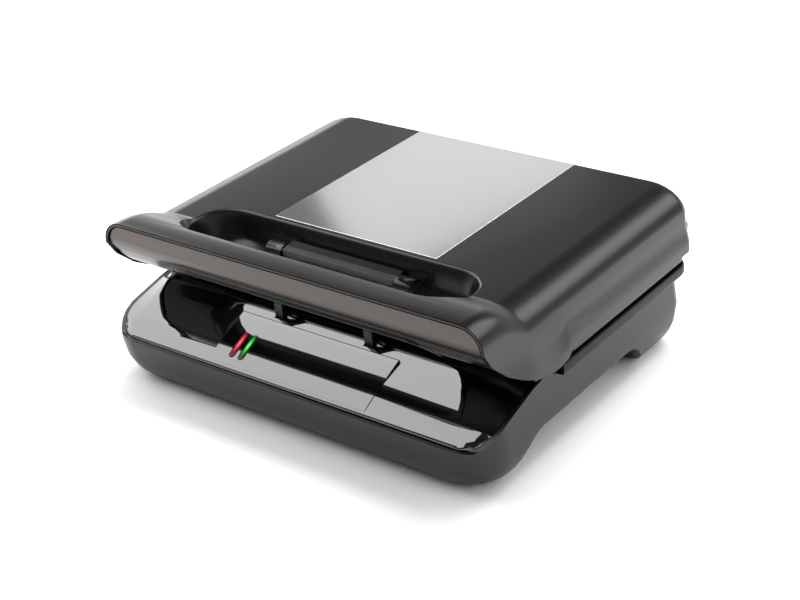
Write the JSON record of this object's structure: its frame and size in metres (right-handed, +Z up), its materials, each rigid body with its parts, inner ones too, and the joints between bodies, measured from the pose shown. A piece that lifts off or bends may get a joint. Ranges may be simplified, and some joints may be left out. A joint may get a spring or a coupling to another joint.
{
  "type": "contact grill",
  "caption": "Closed contact grill with a hinged floating lid, open grip pocket with latch lever, metal top plate, glossy sloping fascia with indicator lenses, and ribbed plates.",
  "frame": {"origin": "on the resting surface, under the middle of the closed grill's bounding box", "axes": "+X runs along the hinge to the grill's right seen from the front, +Y goes from the lip at the front to the hinge at the rear, +Z is up"},
  "size_m": [0.29, 0.2314, 0.104],
  "materials": {
    "satin_black_shell": "satin black moulded plastic",
    "satin_dark_base": "satin dark grey-black moulded plastic",
    "gloss_black": "high-gloss black moulded plastic",
    "polished_plate": "polished stainless sheet",
    "non_stick": "black non-stick coating on cast aluminium",
    "element_sheath": "dull steel sheath",
    "aluminised_sheet": "aluminised steel sheet",
    "zinc_steel": "bright zinc plate",
    "bright_steel": "bright steel pin",
    "black_steel": "black coated steel",
    "lever_plastic": "finely textured black plastic",
    "red_lens": "clear red acrylic",
    "green_lens": "clear green acrylic",
    "lamp_glass": "small neon lamp",
    "circuit_board": "phenolic board",
    "phenolic": "heat-resistant thermostat body",
    "white_nylon": "white nylon",
    "black_rubber": "matt black rubber"
  },
  "bodies": {
    "base": {"base_deck": "gloss_black", "base_housing": "satin_dark_base", "float_stop_pin_left": "zinc_steel", "float_stop_pin_right": "zinc_steel", "foot_pad_front_left": "black_rubber", "foot_pad_front_right": "black_rubber", "foot_pad_rear_left": "black_rubber", "foot_pad_rear_right": "black_rubber", "housing_screw_1": "zinc_steel", "housing_screw_2": "zinc_steel", "housing_screw_3": "zinc_steel", "housing_screw_4": "zinc_steel", "indicator_board": "circuit_board", "indicator_lamp_green": "lamp_glass", "indicator_lamp_red": "lamp_glass", "lead_inlet_bushing": "black_rubber", "lens_green": "green_lens", "lens_red": "red_lens", "lower_grill_plate": "non_stick", "lower_heat_shield": "aluminised_sheet", "lower_heating_element": "element_sheath", "lower_plate_screw_1": "zinc_steel", "lower_plate_screw_2": "zinc_steel", "lower_plate_screw_3": "zinc_steel", "lower_plate_screw_4": "zinc_steel", "terminal_block": "white_nylon", "thermal_fuse": "zinc_steel", "thermostat": "phenolic"},
    "hinge_carriage": {"hinge_arm_left": "black_steel", "hinge_arm_right": "black_steel", "hinge_pin_left": "bright_steel", "hinge_pin_right": "bright_steel"},
    "lid": {"latch_pin": "bright_steel", "lid_bezel": "gloss_black", "lid_screw_1": "zinc_steel", "lid_screw_2": "zinc_steel", "lid_screw_3": "zinc_steel", "lid_screw_4": "zinc_steel", "lid_shell": "satin_black_shell", "top_inlay": "polished_plate", "upper_grill_plate": "non_stick", "upper_heat_shield": "aluminised_sheet", "upper_heating_element": "element_sheath", "upper_plate_screw_1": "zinc_steel", "upper_plate_screw_2": "zinc_steel", "upper_plate_screw_3": "zinc_steel", "upper_plate_screw_4": "zinc_steel"},
    "latch": {"latch_lever": "lever_plastic"}
  },
  "joints": [
    {"name": "lid_float", "type": "slide", "parent": "base", "child": "hinge_carriage", "axis": [0, 0, 1], "range_m": [0, 0.012]},
    {"name": "lid_hinge", "type": "hinge", "parent": "hinge_carriage", "child": "lid", "pos_m": [0, 0.108, 0.056], "axis": [-1, 0, 0], "range_deg": [0, 100]},
    {"name": "latch_pivot", "type": "hinge", "parent": "lid", "child": "latch", "pos_m": [0, -0.051, 0.08], "axis": [1, 0, 0], "range_deg": [0, 8]}
  ]
}
